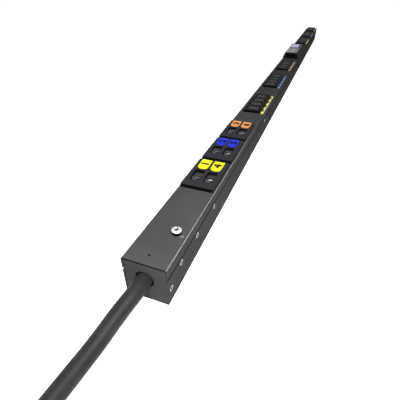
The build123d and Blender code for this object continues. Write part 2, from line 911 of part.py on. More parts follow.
def make_coil():
    """Outer shape of the coiled cord: a ring with a lead in and a lead out."""
    x, y = coil_centre
    section = Plane.XZ * (Pos(coil_mean_radius, 0) * coil_lanes(0))
    ring = Pos(x, y, 0) * revolve(section, Axis.Z)
    lead_in = Location((coil_entry_x, y, floor_height), (-90, 0, 0))
    ring += lead_in * extrude(Circle(cord_radius), coil_entry_stub)
    lead_out = Location((x + coil_outer_turn, y, plug_axis_height), (-90, 0, 0))
    return ring + lead_out * extrude(Circle(cord_radius), coil_exit_stub)


def make_tie():
    """Strap round the coil's turns, on the side away from the unit."""
    section = coil_lanes(tie_clearance + tie_wall) - coil_lanes(tie_clearance)
    section -= Pos(0, -cord_radius) * Rectangle(8 * cord_radius, 2 * cord_radius)
    across = Plane(origin=(*coil_centre, 0), x_dir=(0, -1, 0), z_dir=(-1, 0, 0))
    return extrude(across * (Pos(coil_mean_radius, 0) * section), tie_width / 2, both=True)


# Industrial plug, lying on its round shroud
plug_back = (coil_centre[0] + coil_outer_turn, coil_centre[1] + coil_exit_stub,
             plug_axis_height)


def plug_part(points):
    """Turned part of the plug from radius and distance pairs."""
    profile = make_face(Polyline(*[(r, 0, z) for r, z in points], close=True))
    return Location(plug_back, (-90, 0, 0)) * revolve(profile, Axis.Z)


plug_face = plug_nut_length + plug_length
carrier_face = plug_face - plug_shroud_depth


def make_plug_nut():
    r = plug_nut_radius
    bore = cord_radius * 0.5
    body = plug_part([(bore, 0), (r * 0.72, 0), (r, plug_nut_taper), (r, plug_nut_length),
                      (bore, plug_nut_length)])
    for index in range(plug_rib_count):
        groove = slab(4 * plug_rib_depth, plug_rib_width, plug_rib_start, plug_nut_length + 1,
                      x=r + plug_rib_depth)
        body -= Location(plug_back, (-90, 0, 0)) * Rot(0, 0, index * 360 / plug_rib_count) * groove
    return body


def make_plug_housing():
    g = plug_grip_radius
    r = plug_radius
    inside = r - plug_shroud_wall
    return plug_part([(0, plug_nut_length), (g * 0.8, plug_nut_length),
                      (g, plug_nut_length + plug_grip_taper),
                      (g, carrier_face - plug_flare_start),
                      (r, carrier_face - plug_flare_end), (r, plug_face),
                      (inside, plug_face), (inside, carrier_face), (0, carrier_face)])


def make_plug_pins():
    pins = []
    for index in range(plug_pin_count):
        angle = math.radians(90 + index * 360 / plug_pin_count)
        x = plug_pin_circle * math.cos(angle)
        y = plug_pin_circle * math.sin(angle)
        pin = rod(plug_pin_radius, carrier_face, carrier_face + plug_pin_length, x, y)
        pin = chamfer(pin.edges().group_by(Axis.Z)[-1], 0.8)
        pins.append(Location(plug_back, (-90, 0, 0)) * pin)
    return gather(pins)


os.makedirs("parts", exist_ok=True)

save("chassis_base", make_base())
save("front_cover", make_cover())
save("cord_end_plate", make_end_plate(-1, True))
save("far_end_plate", make_end_plate(1, False))
save("case_screws", screw_set(tab_screw_places + wall_screw_places))
save("mounting_inserts", make_inserts())
save("block_rails", gather(make_rail(side) for side in (-1, 1)))

save("cord_bushing", make_bushing())
save("cable_end", make_cable_end())
save("terminal_block", make_terminal_block())
save("terminal_screws", make_terminal_screws())

save("earth_bush", make_earth_bush())
save("earth_washer", make_earth_washer())
save("earth_screw", make_earth_screw())

for module in range(breaker_modules):
    save(f"breaker_bezel_{module + 1}", make_bezel(module))
    save(f"breaker_tags_{module + 1}", make_tags(module))
    for name, side in (("left", -1), ("right", 1)):
        save(f"breaker_{module + 1}_{name}", make_breaker(module, side))
        save(f"rocker_{module + 1}_{name}", make_rocker(module, side))

for number, distance in enumerate(outlet_groups_along, start=1):
    save(f"outlet_block_{number}", make_outlet_block(distance))
for circuit in range(circuits):
    strips = [make_label_strip(d) for d in outlet_groups_along[circuit::circuits]]
    save(f"label_strips_{circuit + 1}", gather(strips))
save("line_contacts", make_contacts(0))
save("neutral_contacts", make_contacts(1))
save("earth_contacts", make_contacts(2))

save("display_housing", make_display_housing())
save("display_glass", make_glass())
save("display_screen", make_screen())
save("keypad", make_keypad())
for name, place in zip(("back", "enter", "down", "up"), button_places):
    save(f"button_{name}", make_button(*place))
save("display_board", make_board())
save("network_sockets", make_network_sockets())

save("power_cord", make_cord())
save("cord_coil", make_coil())
save("coil_tie", make_tie())
save("plug_nut", make_plug_nut())
save("plug_housing", make_plug_housing())
save("plug_pins", make_plug_pins())
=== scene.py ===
import json
import math

import bmesh
import bpy
from mathutils import Matrix, Vector


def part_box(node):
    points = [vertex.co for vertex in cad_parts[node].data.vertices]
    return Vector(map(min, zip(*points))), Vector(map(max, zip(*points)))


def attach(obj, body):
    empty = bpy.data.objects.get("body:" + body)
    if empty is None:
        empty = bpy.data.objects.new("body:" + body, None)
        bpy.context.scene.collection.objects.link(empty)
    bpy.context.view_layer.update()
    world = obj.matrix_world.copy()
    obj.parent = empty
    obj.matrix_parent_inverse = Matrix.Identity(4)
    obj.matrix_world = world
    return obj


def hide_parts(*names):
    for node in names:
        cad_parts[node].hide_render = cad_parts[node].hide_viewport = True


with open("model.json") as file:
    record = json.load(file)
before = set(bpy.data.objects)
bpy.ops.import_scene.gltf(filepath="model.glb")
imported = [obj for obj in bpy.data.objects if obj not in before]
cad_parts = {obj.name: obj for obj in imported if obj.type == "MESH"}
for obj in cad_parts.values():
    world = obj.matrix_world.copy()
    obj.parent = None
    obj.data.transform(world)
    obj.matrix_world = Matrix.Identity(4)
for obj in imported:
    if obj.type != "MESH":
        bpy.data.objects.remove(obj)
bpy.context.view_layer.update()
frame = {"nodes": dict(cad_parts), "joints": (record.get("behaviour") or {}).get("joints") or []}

nodes = frame["nodes"]
print("frame loaded:", len(nodes), "nodes")


def linear(code):
    # sRGB hex to the linear colour that the shaders want
    parts = [int(code[i:i + 2], 16) / 255 for i in (1, 3, 5)]
    return [p / 12.92 if p <= 0.04045 else ((p + 0.055) / 1.055) ** 2.4 for p in parts] + [1.0]


# Camera, set where the photograph was taken from

camera = {
    "place": (0.13028, -1.08877, 0.28355),   # metres, in the unit's own frame
    "heading": -0.3750,                      # radians, turned from +Y towards -X
    "pitch": 0.6255,                         # radians, looking down
    "roll": 0.0043,
    "lens": 27.86,                           # mm on the sensor below
    "sensor": 36.0,
    "clip": (0.01, 50.0),
}


def makeCamera(spec):
    data = bpy.data.cameras.new("camera")
    data.sensor_width = spec["sensor"]
    data.lens = spec["lens"]
    data.clip_start, data.clip_end = spec["clip"]
    heading, pitch, roll = spec["heading"], spec["pitch"], spec["roll"]
    forward = Vector((math.sin(heading) * math.cos(pitch), math.cos(heading) * math.cos(pitch),
                      -math.sin(pitch)))
    right = Vector((math.cos(heading), -math.sin(heading), 0.0))
    down = forward.cross(right)
    turnedRight = right * math.cos(roll) + down * math.sin(roll)
    turnedDown = down * math.cos(roll) - right * math.sin(roll)
    matrix = Matrix((turnedRight, -turnedDown, -forward)).transposed().to_4x4()
    matrix.translation = Vector(spec["place"])
    item = bpy.data.objects.new("camera", data)
    item.matrix_world = matrix
    bpy.context.scene.collection.objects.link(item)
    bpy.context.scene.camera = item


makeCamera(camera)


# Supply cord: the route of the drawing, then the coil's turns

supplyCord = {
    "diameter": 0.018,
    "length": 3.0,
    "endY": -0.9135,                      # the chassis' cord end
    "route": [(-0.5, 9.2, 30.4), (-0.5, -14.0, 30.4), (-6.9, -40.0, 23.6), (-13.0, -68.0, 13.3),
              (-18.3, -100.0, 9.2), (-21.8, -140.0, 9.2), (-27.5, -184.0, 9.2),
              (-30.5, -214.0, 9.2), (-30.5, -246.0, 9.2)],   # mm, Y from the cord end
    "coilCentre": (72.3, -310.0),
    "outerTurn": 102.8,                   # radius
    "floorHeight": 9.2,
    "lane": 18.2,                         # from one turn to the next, beside it or above it
    "moves": [("in", 0.75, 1.00), ("up", 1.68, 1.90), ("up", 2.66, 2.88), ("over", 3.48, 3.72)],
    "turns": 4.5,
    "pointsPerTurn": 16,
    "exitStub": 76.0,                     # straight run to the plug
    "stepsPerPoint": 10,
    "roundSteps": 8,
}


def coilPoint(spec, turned):
    # place on the coil after so many turns, counter-clockwise from its west side
    radius, height = spec["outerTurn"], spec["floorHeight"]
    for move, start, end in spec["moves"]:
        share = min(1.0, max(0.0, (turned - start) / (end - start)))
        ease = share * share * (3 - 2 * share)
        if move == "in":
            radius -= spec["lane"] * ease
        elif move == "up":
            height += spec["lane"] * ease
        else:
            radius += spec["lane"] * math.sin(ease * math.pi / 2)
            height -= spec["lane"] * (1 - math.cos(ease * math.pi / 2))
    radius /= math.cos(math.pi / spec["pointsPerTurn"])   # a spline runs inside its points
    angle = math.pi + 2 * math.pi * turned
    x, y = spec["coilCentre"]
    return (x + radius * math.cos(angle), y + radius * math.sin(angle), height)


def makeCord(spec):
    points = list(spec["route"])
    steps = round(spec["turns"] * spec["pointsPerTurn"])
    points += [coilPoint(spec, step / spec["pointsPerTurn"]) for step in range(steps + 1)]
    plugX, plugY, plugZ = spec["coilCentre"][0] + spec["outerTurn"], spec["coilCentre"][1], points[-1][2]
    points += [(plugX, plugY + spec["exitStub"] / 2, plugZ), (plugX, plugY + spec["exitStub"], plugZ)]
    curve = bpy.data.curves.new("supplyCord", "CURVE")
    curve.dimensions = "3D"
    spline = curve.splines.new("NURBS")
    spline.points.add(len(points) - 1)
    for point, (x, y, z) in zip(spline.points, points):
        point.co = (x / 1000, y / 1000 + spec["endY"], z / 1000, 1.0)
        point.radius = spec["diameter"] / 2
    spline.order_u = 3
    spline.use_endpoint_u = True
    spline.resolution_u = spec["stepsPerPoint"]
    curve.bevel_depth = 1.0        # times the points' radius, which keeps the curve's box true
    curve.bevel_resolution = spec["roundSteps"]
    curve.use_fill_caps = True
    cord = bpy.data.objects.new("supplyCord", curve)
    bpy.context.scene.collection.objects.link(cord)
    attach(cord, "unit")
    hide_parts("power_cord", "cord_coil")
    return cord


cord = makeCord(supplyCord)
print("cord ready")


# Materials

noiseMiddle = {"From Min": 0.35, "From Max": 0.65}   # the values that a noise mostly takes


def addNode(tree, kind, inputs=None, **settings):
    # one node with its settings; an input is a value, or the socket that feeds it
    node = tree.nodes.new(kind)
    for name, value in settings.items():
        setattr(node, name, value)
    for name, value in (inputs or {}).items():
        if isinstance(value, bpy.types.NodeSocket):
            tree.links.new(value, node.inputs[name])
        else:
            node.inputs[name].default_value = value
    return node


def newMaterial(name, values):
    # values are those that are the same all over the surface
    material = bpy.data.materials.new(name)
    material.use_nodes = True
    tree = material.node_tree
    shader = tree.nodes["Principled BSDF"]
    for key, value in values.items():
        shader.inputs[key].default_value = value
    return material, tree, shader


def paint(material, *names):
    # the nodes keep their shape and only take the new material
    for name in names:
        slots = nodes[name].data.materials
        slots.clear()
        slots.append(material)


def addSurface(tree, shader, spec, colours, detail=3.0, roughnessFrom="grain"):
    # a slow drift between two colours, and a fine grain for roughness and relief
    place = addNode(tree, "ShaderNodeTexCoord").outputs["Object"]
    drift = addNode(tree, "ShaderNodeTexNoise", {"Vector": place, "Scale": 1000 / spec["driftMm"],
                                                 "Detail": detail}).outputs["Fac"]
    grain = addNode(tree, "ShaderNodeTexNoise", {"Vector": place,
                                                 "Scale": 1000 / spec["grainMm"]}).outputs["Fac"]
    share = addNode(tree, "ShaderNodeMapRange", {"Value": drift, **noiseMiddle}).outputs["Result"]
    tone = addNode(tree, "ShaderNodeMix", {"Factor": share, "A": colours[0], "B": colours[1]},
                   data_type="RGBA")
    low, high = spec["roughness"]
    rough = addNode(tree, "ShaderNodeMapRange", {"Value": grain if roughnessFrom == "grain" else drift,
                                                 "To Min": low, "To Max": high, **noiseMiddle})
    relief = addNode(tree, "ShaderNodeBump", {"Height": grain, "Distance": spec["grainDepthMm"] / 1000})
    tree.links.new(tone.outputs["Result"], shader.inputs["Base Color"])
    tree.links.new(rough.outputs["Result"], shader.inputs["Roughness"])
    tree.links.new(relief.outputs["Normal"], shader.inputs["Normal"])


def region(tree, limits):
    # 1 between the limits on each axis, read without their sign, and 0 elsewhere
    place = addNode(tree, "ShaderNodeTexCoord").outputs["Object"]
    unsigned = addNode(tree, "ShaderNodeVectorMath", {0: place}, operation="ABSOLUTE").outputs["Vector"]
    axes = addNode(tree, "ShaderNodeSeparateXYZ", {"Vector": unsigned}).outputs
    inside = None
    for axis, (low, high) in limits.items():
        here = addNode(tree, "ShaderNodeMath", {0: axes[axis], 1: (low + high) / 2, 2: (high - low) / 2},
                       operation="COMPARE").outputs[0]
        if inside:
            here = addNode(tree, "ShaderNodeMath", {0: inside, 1: here}, operation="MULTIPLY").outputs[0]
        inside = here
    return inside


def fade(tree, axis, start, end, low=0.0, high=1.0):
    # from low to high between two places on one axis
    place = addNode(tree, "ShaderNodeTexCoord").outputs["Object"]
    axes = addNode(tree, "ShaderNodeSeparateXYZ", {"Vector": place}).outputs
    return addNode(tree, "ShaderNodeMapRange", {"Value": axes[axis], "From Min": start, "From Max": end,
                                                "To Min": low, "To Max": high}).outputs["Result"]


def layTone(tree, shader, share, code):
    # another tone over the base colour, as far as share goes
    under = shader.inputs["Base Color"].links[0].from_socket
    tone = addNode(tree, "ShaderNodeMix", {"Factor": share, "A": under, "B": linear(code)}, data_type="RGBA")
    tree.links.new(tone.outputs["Result"], shader.inputs["Base Color"])


# Chassis sheets: the back channel, the cover and the end plates

powderCoat = {
    "colour": "#484949",
    "cloudColour": "#4F4F50",
    "driftMm": 70.0,             # slow change in film thickness
    "grainMm": 1.1,              # orange peel, drawn coarser than the real 0.4 mm to show
    "grainDepthMm": 0.03,
    "roughness": (0.80, 0.92),
    "gloss": 0.004,              # specular level: a matt texture that hardly mirrors the studio
    "ior": 1.5,
    "highlightColour": "#D6D7D8",   # painted highlight along the folds
    "fold": {"X": (0.02535, 1.0), "Z": (0.05235, 1.0)},   # metres: the cover's top turns down here
    "highlightFade": (-0.80, -0.40, 1.0, 0.12),                 # painted highlight fading along Y, from and to, most at the cord end
    "gapShadeColour": "#161617",    # painted shade in the joints between the sheets
    "cutEdgeShade": {"Y": (0.9130, 1.0), "Z": (0.0512, 1.0)},  # painted shade on the cover's edge over the end plates
    "joint": {"X": (0.0236, 1.0), "Y": (0.0, 0.9125), "Z": (0.0366, 0.0390)},   # painted shade in the gap under its flanges
}


def makePowderCoat(spec):
    # powder-coated steel, sprayed and baked: a matt dark grey with a fine orange-peel grain
    material, tree, shader = newMaterial("powderCoatedSteel", {"IOR": spec["ior"],
                                                               "Specular IOR Level": spec["gloss"]})
    addSurface(tree, shader, spec, (linear(spec["colour"]), linear(spec["cloudColour"])))
    # painted highlight: the fold is lightened, most at the cord end and fading along the length
    paintedHighlight = addNode(tree, "ShaderNodeMath", {0: region(tree, spec["fold"]),
                                              1: fade(tree, "Y", *spec["highlightFade"])}, operation="MULTIPLY")
    layTone(tree, shader, paintedHighlight.outputs[0], spec["highlightColour"])
    # painted shade: the cover's cut edge and the gaps under its flanges are darkened
    for limits in (spec["cutEdgeShade"], spec["joint"]):
        layTone(tree, shader, region(tree, limits), spec["gapShadeColour"])
    return material


paint(makePowderCoat(powderCoat), "chassis_base", "front_cover", "cord_end_plate", "far_end_plate")


# Bare metals: plated and blackened steel, stamped brass

zincPlate = {              # rails, clinch nuts, terminal screws, bright rims
    "colour": "#C4C6C8",
    "stainColour": "#A9ADB2",
    "driftMm": 2.5,        # spangle
    "grainMm": 0.25,       # rubbing marks, drawn coarser than the real ones to show
    "grainDepthMm": 0.008,
    "roughness": (0.22, 0.38),
}
nickelPlate = {            # earth screw
    "colour": "#F0F0F0", "stainColour": "#DCDDDE", "driftMm": 2.0, "grainMm": 0.3,
    "grainDepthMm": 0.006, "roughness": (0.30, 0.42),
}
blackenedSteelAndShade = {         # case screws; the earth bush and washer are darkened as painted shade under the earth screw's head
    "colour": "#3A3A3C", "stainColour": "#2A2A2C", "driftMm": 2.0, "grainMm": 0.25,
    "grainDepthMm": 0.01, "roughness": (0.30, 0.45),
}
stampedBrass = {           # contacts and plug pins
    "colour": "#C9A45A", "stainColour": "#A27F3E", "driftMm": 5.0, "grainMm": 0.4,
    "grainDepthMm": 0.006, "roughness": (0.24, 0.42),
}


def makeBareMetal(spec, name):
    # barrel-plated, blackened or stamped: bright or dark, a little milky, with fine rubbing marks
    material, tree, shader = newMaterial(name, {"Metallic": 1.0})
    addSurface(tree, shader, spec, (linear(spec["colour"]), linear(spec["stainColour"])),
               roughnessFrom="drift")
    return material


brightZinc = makeBareMetal(zincPlate, "zincPlatedSteel")
nickel = makeBareMetal(nickelPlate, "nickelPlatedSteel")
paint(brightZinc, "mounting_inserts", "block_rails", "terminal_screws", "earth_screw")
# painted shade: the earth bush and washer are dark to stand for the shade under the screw head
paint(makeBareMetal(blackenedSteelAndShade, "blackenedSteelAndShade"), "case_screws", "earth_bush", "earth_washer")
paint(makeBareMetal(stampedBrass, "stampedBrass"), "line_contacts", "neutral_contacts", "earth_contacts",
      "plug_pins")


# Moulded plastics: each has its own texture and gloss, with the grain drawn coarser than the real
# spark-eroded one to show, and painted highlights on faces between limits in metres

mouldedIor = 1.52      # near enough for all of them

glassFilledNylon = {   # breaker modules, bushing, terminal block, strap
    "colour": "#0F0F11", "flowColour": "#151517", "roughness": (0.55, 0.67), "gloss": 0.03,
    "grainMm": 0.9, "driftMm": 22.0, "grainDepthMm": 0.03,
    "paintedHighlight": [{"Z": (0.0581, 0.0584)}],     # painted light: the bezels' faces lighter than their walls
    "highlightColour": "#2F3033",
}
polyesterBlock = {     # outlet blocks
    "colour": "#0B0B0C", "flowColour": "#101012", "roughness": (0.50, 0.62), "gloss": 0.03,
    "grainMm": 0.8, "driftMm": 18.0, "grainDepthMm": 0.012,
    "paintedHighlight": [{"Z": (0.05772, 0.05785)}],   # painted highlight on the socket cores' faces, 0.5 mm down
    "highlightColour": "#4E4E52",
}
polycarbonateRocker = {
    "colour": "#121214", "flowColour": "#18181A", "roughness": (0.22, 0.32), "gloss": 0.20,
    "grainMm": 0.6, "driftMm": 9.0, "grainDepthMm": 0.006,
    "paintedHighlight": [{"Y": (0.7547, 0.7560)}, {"Y": (0.6717, 0.6730)}, {"Y": (0.5887, 0.5900)}],   # painted highlight at the near ends
    "highlightColour": "#58585C",
}
absHousing = {         # display housing, network sockets
    "colour": "#17181A", "flowColour": "#1E1F21", "roughness": (0.60, 0.72), "gloss": 0.015,
    "grainMm": 0.8, "driftMm": 30.0, "grainDepthMm": 0.03,
    "paintedHighlight": [{"Z": (0.0705, 0.0715)}],     # painted light on the housing's top face
    "highlightColour": "#5E6062",
}
siliconeButton = {
    "colour": "#5E6561", "flowColour": "#686F6B", "roughness": (0.60, 0.72), "gloss": 0.05,
    "grainMm": 0.5, "driftMm": 6.0, "grainDepthMm": 0.012,
}
plugBody = {           # red nylon housing
    "colour": "#B3121A", "flowColour": "#BE1B22", "roughness": (0.30, 0.42), "gloss": 0.4,
    "grainMm": 0.8, "driftMm": 25.0, "grainDepthMm": 0.02,
}
plugCollar = {         # grey nylon nut
    "colour": "#7D8084", "flowColour": "#888B8E", "roughness": (0.35, 0.46), "gloss": 0.4,
    "grainMm": 0.8, "driftMm": 20.0, "grainDepthMm": 0.02,
}


def makeMoulded(spec, name):
    # injection-moulded plastic: soft flow marks under a fine texture, paler where a highlight is painted
    material, tree, shader = newMaterial(name, {"IOR": mouldedIor, "Specular IOR Level": spec["gloss"]})
    addSurface(tree, shader, spec, (linear(spec["colour"]), linear(spec["flowColour"])))
    # painted highlight: a lighter tone on the bands where the light falls
    for limits in spec.get("paintedHighlight", []):
        layTone(tree, shader, region(tree, limits), spec["highlightColour"])
    return material


modules = range(1, 4)
breakers = [f"{module}_{side}" for module in modules for side in ("left", "right")]
paint(makeMoulded(glassFilledNylon, "glassFilledNylon"), "cord_bushing", "terminal_block", "coil_tie",
      *[f"breaker_bezel_{module}" for module in modules], *[f"breaker_{name}" for name in breakers])
paint(makeMoulded(polyesterBlock, "polyesterOutletBlock"), *[f"outlet_block_{n}" for n in range(1, 7)])
paint(makeMoulded(polycarbonateRocker, "polycarbonateRocker"), *[f"rocker_{name}" for name in breakers])
paint(makeMoulded(absHousing, "absHousing"), "display_housing", "network_sockets")
paint(makeMoulded(siliconeButton, "siliconeButton"),
      *[f"button_{name}" for name in ("back", "enter", "down", "up")])
paint(makeMoulded(plugBody, "redNylonPlug"), "plug_housing")
paint(makeMoulded(plugCollar, "greyNylonNut"), "plug_nut")
print("metal and plastics ready")


# Printed films: breaker tags, label strips, keypad

printedFilm = {
    "driftMm": 1.4,           # mottle of the screen print
    "grainMm": 0.5,           # matt texture, drawn coarser than the real one to show
    "grainDepthMm": 0.008,
    "roughness": (0.34, 0.46),
    "gloss": 0.06,
    "ior": 1.57,
    "shade": 0.88,            # the mottle's darker tone against the lighter
}
tagPrint = {"colours": ("#F8FF2E", "#1C30D2", "#F7A45C")}
stripPrint = {
    "colours": ("#F4F45A", "#3A60C0", "#D29A78"),       # between the cells of the figures
    "cellColours": ("#5C5E16", "#1A2C5E", "#5C382A"),
    "edgeHighlightColours": ("#FFFFC8", "#9DB4E4", "#F4DCCE"),   # painted highlight: pale band along the outer edge
    "edgeHighlight": ("X", 0.0218, 0.0222),
}
keypadPrint = {"colour": "#B4BBB6", "farColour": "#5C605E", "fade": ("X", 0.007, 0.018)}


def makeFilm(spec, name, code, farCode=None, fadeTo=None):
    # screen-printed polyester film: flat strong colour, slightly mottled, satin
    material, tree, shader = newMaterial(name, {"IOR": spec["ior"], "Specular IOR Level": spec["gloss"]})
    colour = linear(code)
    darker = [part * spec["shade"] for part in colour[:3]] + [1.0]
    addSurface(tree, shader, spec, (colour, darker), detail=4.0)
    # for the label strips, the far tone is a painted highlight along the outer edge
    if farCode:
        layTone(tree, shader, fade(tree, *fadeTo), farCode)
    return material


for circuit, tag, strip, edgeHighlight in zip(modules, tagPrint["colours"], stripPrint["colours"],
                                     stripPrint["edgeHighlightColours"]):
    paint(makeFilm(printedFilm, f"tagFilm{circuit}", tag), f"breaker_tags_{circuit}")
    paint(makeFilm(printedFilm, f"stripFilm{circuit}", strip, edgeHighlight, stripPrint["edgeHighlight"]),
          f"label_strips_{circuit}")
paint(makeFilm(printedFilm, "keypadFilm", keypadPrint["colour"], keypadPrint["farColour"],
               keypadPrint["fade"]), "keypad")


# Board and display

boardLaminate = {"colour": "#1E4D2B", "traceColour": "#2C6B3C", "traceMm": 3.0, "traceWidth": 0.12,
                 "traceDepthMm": 0.03, "roughness": 0.35, "ior": 1.5}


def makeLaminate(spec):
    # glass-epoxy board under green solder mask: lighter where copper runs beneath
    material, tree, shader = newMaterial("glassEpoxyBoard", {"Roughness": spec["roughness"],
                                                             "IOR": spec["ior"]})
    place = addNode(tree, "ShaderNodeTexCoord").outputs["Object"]
    trace = addNode(tree, "ShaderNodeTexBrick",
                    {"Vector": place, "Scale": 1000 / spec["traceMm"], "Mortar Size": spec["traceWidth"],
                     "Color1": linear(spec["colour"]), "Color2": linear(spec["colour"]),
                     "Mortar": linear(spec["traceColour"])})
    relief = addNode(tree, "ShaderNodeBump", {"Height": trace.outputs["Fac"],
                                              "Distance": spec["traceDepthMm"] / 1000})
    tree.links.new(trace.outputs["Color"], shader.inputs["Base Color"])
    tree.links.new(relief.outputs["Normal"], shader.inputs["Normal"])
    return material


paint(makeLaminate(boardLaminate), "display_board")

screenPanel = {"colour": "#20222A", "lit": "#7A6CE0", "glow": 0.62, "dim": 0.85, "dotMm": 0.9,
               "roughness": 0.3}


def makeScreenPanel(spec):
    # backlit liquid crystal panel: a lavender glow with a faint dot grid
    lit = linear(spec["lit"])
    material, tree, shader = newMaterial("liquidCrystalPanel", {
        "Base Color": linear(spec["colour"]), "Roughness": spec["roughness"],
        "Emission Strength": spec["glow"]})
    place = addNode(tree, "ShaderNodeTexCoord").outputs["Object"]
    dots = addNode(tree, "ShaderNodeTexVoronoi", {"Vector": place, "Scale": 1000 / spec["dotMm"],
                                                  "Randomness": 0.0})
    shine = addNode(tree, "ShaderNodeMix", {
        "Factor": dots.outputs["Distance"], "A": lit,
        "B": [part * spec["dim"] for part in lit[:3]] + [1.0]}, data_type="RGBA")
    tree.links.new(shine.outputs["Result"], shader.inputs["Emission Color"])
    return material


paint(makeScreenPanel(screenPanel), "display_screen")

displayWindow = {"roughness": (0.03, 0.07), "smearMm": 14.0, "smearDetail": 3.0, "gloss": 0.1, "ior": 1.49}


def makeWindow(spec):
    # moulded acrylic window: clear, with faint polishing smears in its gloss
    material, tree, shader = newMaterial("acrylicWindow", {
        "IOR": spec["ior"], "Transmission Weight": 1.0, "Specular IOR Level": spec["gloss"]})
    place = addNode(tree, "ShaderNodeTexCoord").outputs["Object"]
    smear = addNode(tree, "ShaderNodeTexNoise", {"Vector": place, "Scale": 1000 / spec["smearMm"],
                                                 "Detail": spec["smearDetail"]}).outputs["Fac"]
    low, high = spec["roughness"]
    rough = addNode(tree, "ShaderNodeMapRange", {"Value": smear, "To Min": low, "To Max": high,
                                                 **noiseMiddle})
    tree.links.new(rough.outputs["Result"], shader.inputs["Roughness"])
    return material


paint(makeWindow(displayWindow), "display_glass")


# Cord sheath

cordSheath = {
    "colour": "#272526",
    "dustColour": "#2F2D2E",
    "driftMm": 30.0,
    "grainMm": 0.9,              # drawing marks, drawn coarser than the real ones to show
    "grainDepthMm": 0.02,
    "roughness": (0.42, 0.55),
    "gloss": 0.13,
    "ior": 1.52,
}


def makeSheath(spec):
    # extruded rubber sheath: dark brown-grey, dusty satin, with faint drawing marks
    material, tree, shader = newMaterial("rubberSheath", {"IOR": spec["ior"],
                                                          "Specular IOR Level": spec["gloss"]})
    addSurface(tree, shader, spec, (linear(spec["colour"]), linear(spec["dustColour"])), detail=4.0)
    return material


sheath = makeSheath(cordSheath)
cord.data.materials.append(sheath)
paint(sheath, "cable_end", "power_cord", "cord_coil")
print("films, display and cord materials ready")


# Printed marks, in screen inks

ink = dict(printedFilm, driftMm=0.8, grainMm=0.4, grainDepthMm=0.004, roughness=(0.50, 0.62), gloss=0.01,
           shade=0.9)
inkColours = {"black": "#16161C", "white": "#EDEDEF", "grey": "#8B8D8F", "navy": "#10175E",
              "slate": "#3A3A40", "paleSlate": "#73737B"}
inks = {tone: makeFilm(ink, f"{tone}ScreenInk", code) for tone, code in inkColours.items()}
cellInks = [makeFilm(ink, f"cellScreenInk{circuit}", code)
            for circuit, code in zip(modules, stripPrint["cellColours"])]
mergeDistance = 0.000001   # metres


def finishPiece(bm, name, material, body, recess=None):
    # a merged, outward-facing mesh as a piece that rides on its body
    bmesh.ops.remove_doubles(bm, verts=bm.verts, dist=mergeDistance)
    bmesh.ops.recalc_face_normals(bm, faces=bm.faces)
    mesh = bpy.data.meshes.new(name)
    bm.to_mesh(mesh)
    bm.free()
    mesh.materials.append(material)
    if recess:
        mesh.materials.append(recess)
    piece = bpy.data.objects.new(name, mesh)
    bpy.context.scene.collection.objects.link(piece)
    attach(piece, body)
    return piece


def addText(bm, text, height, weight, thickness, place, stretch=1.0):
    # figures of the given height, solid, standing on place
    curve = bpy.data.curves.new("figures", "FONT")
    curve.body = text
    curve.offset = weight
    curve.extrude = 0.5            # 1 thick in all, until it is scaled
    curve.resolution_u = 3         # steps along each of a figure's curves
    item = bpy.data.objects.new("figures", curve)
    mesh = bpy.data.meshes.new_from_object(item)
    lowest = [min(v.co[axis] for v in mesh.vertices) for axis in range(3)]
    highest = [max(v.co[axis] for v in mesh.vertices) for axis in range(3)]
    scale = height / (highest[1] - lowest[1])
    centre = Vector([(a + b) / 2 for a, b in zip(lowest, highest)])
    centre.z = lowest[2]
    size = Matrix.Diagonal((scale * stretch, scale, thickness, 1.0))
    mesh.transform(place @ size @ Matrix.Translation(-centre))
    bm.from_mesh(mesh)
    bpy.data.meshes.remove(mesh)
    bpy.data.objects.remove(item)
    bpy.data.curves.remove(curve)


def addRing(bm, place, inner, outer, thickness, steps=20):
    # flat ring, spun from its section and set on place
    before = set(bm.verts)
    corners = [(inner, 0, 0), (outer, 0, 0), (outer, 0, thickness), (inner, 0, thickness)]
    verts = [bm.verts.new(c) for c in corners]
    edges = [bm.edges.new((verts[i], verts[(i + 1) % 4])) for i in range(4)]
    bmesh.ops.spin(bm, geom=verts + edges, cent=(0, 0, 0), axis=(0, 0, 1), angle=math.tau,
                   steps=steps, use_merge=True, use_duplicate=False)
    bmesh.ops.transform(bm, matrix=place, verts=[v for v in bm.verts if v not in before])


def addBlock(bm, place, width, length, thickness):
    # flat block, lying on place
    made = bmesh.ops.create_cube(bm, size=1.0)["verts"]
    shape = Matrix.Translation((0, 0, thickness / 2)) @ Matrix.Diagonal((width, length, thickness, 1.0))
    bmesh.ops.transform(bm, matrix=place @ shape, verts=made)


quarterTurn = Matrix.Rotation(math.pi / 2, 4, "Z")   # the figures are read from the right side

tagFigures = {
    "pairs": (("1", "4"), ("2", "5"), ("3", "6")),
    "inks": ("black", "navy", "black"),
    "height": 0.0118,
    "weight": 0.06,
    "stretch": 1.35,
    "thickness": 0.00006,
    "fromFarEnd": 0.0125,        # middle of a figure
    "sideways": 0.0097,
}


def makeTagFigures(spec):
    for module, pair, tone in zip(modules, spec["pairs"], spec["inks"]):
        low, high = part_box(f"breaker_tags_{module}")
        bm = bmesh.new()
        for side, figure in zip((-1, 1), pair):
            place = Matrix.Translation((side * spec["sideways"], high[1] - spec["fromFarEnd"], high[2]))
            addText(bm, figure, spec["height"], spec["weight"], spec["thickness"], place @ quarterTurn,
                    spec["stretch"])
        finishPiece(bm, f"tagFigures{module}", inks[tone], "unit")


makeTagFigures(tagFigures)

stripFigures = {
    "height": 0.0026,
    "weight": 0.03,
    "thickness": 0.00005,
    "outlets": 4,                # on each block
    "outletPitch": 0.028,
    "firstOutlet": 0.006,        # from the block's end, half of it a shoulder under the cover
    "cell": (0.0042, 0.0125),    # across and along
    "x": 0.0210,
    "z": 0.0546,
}


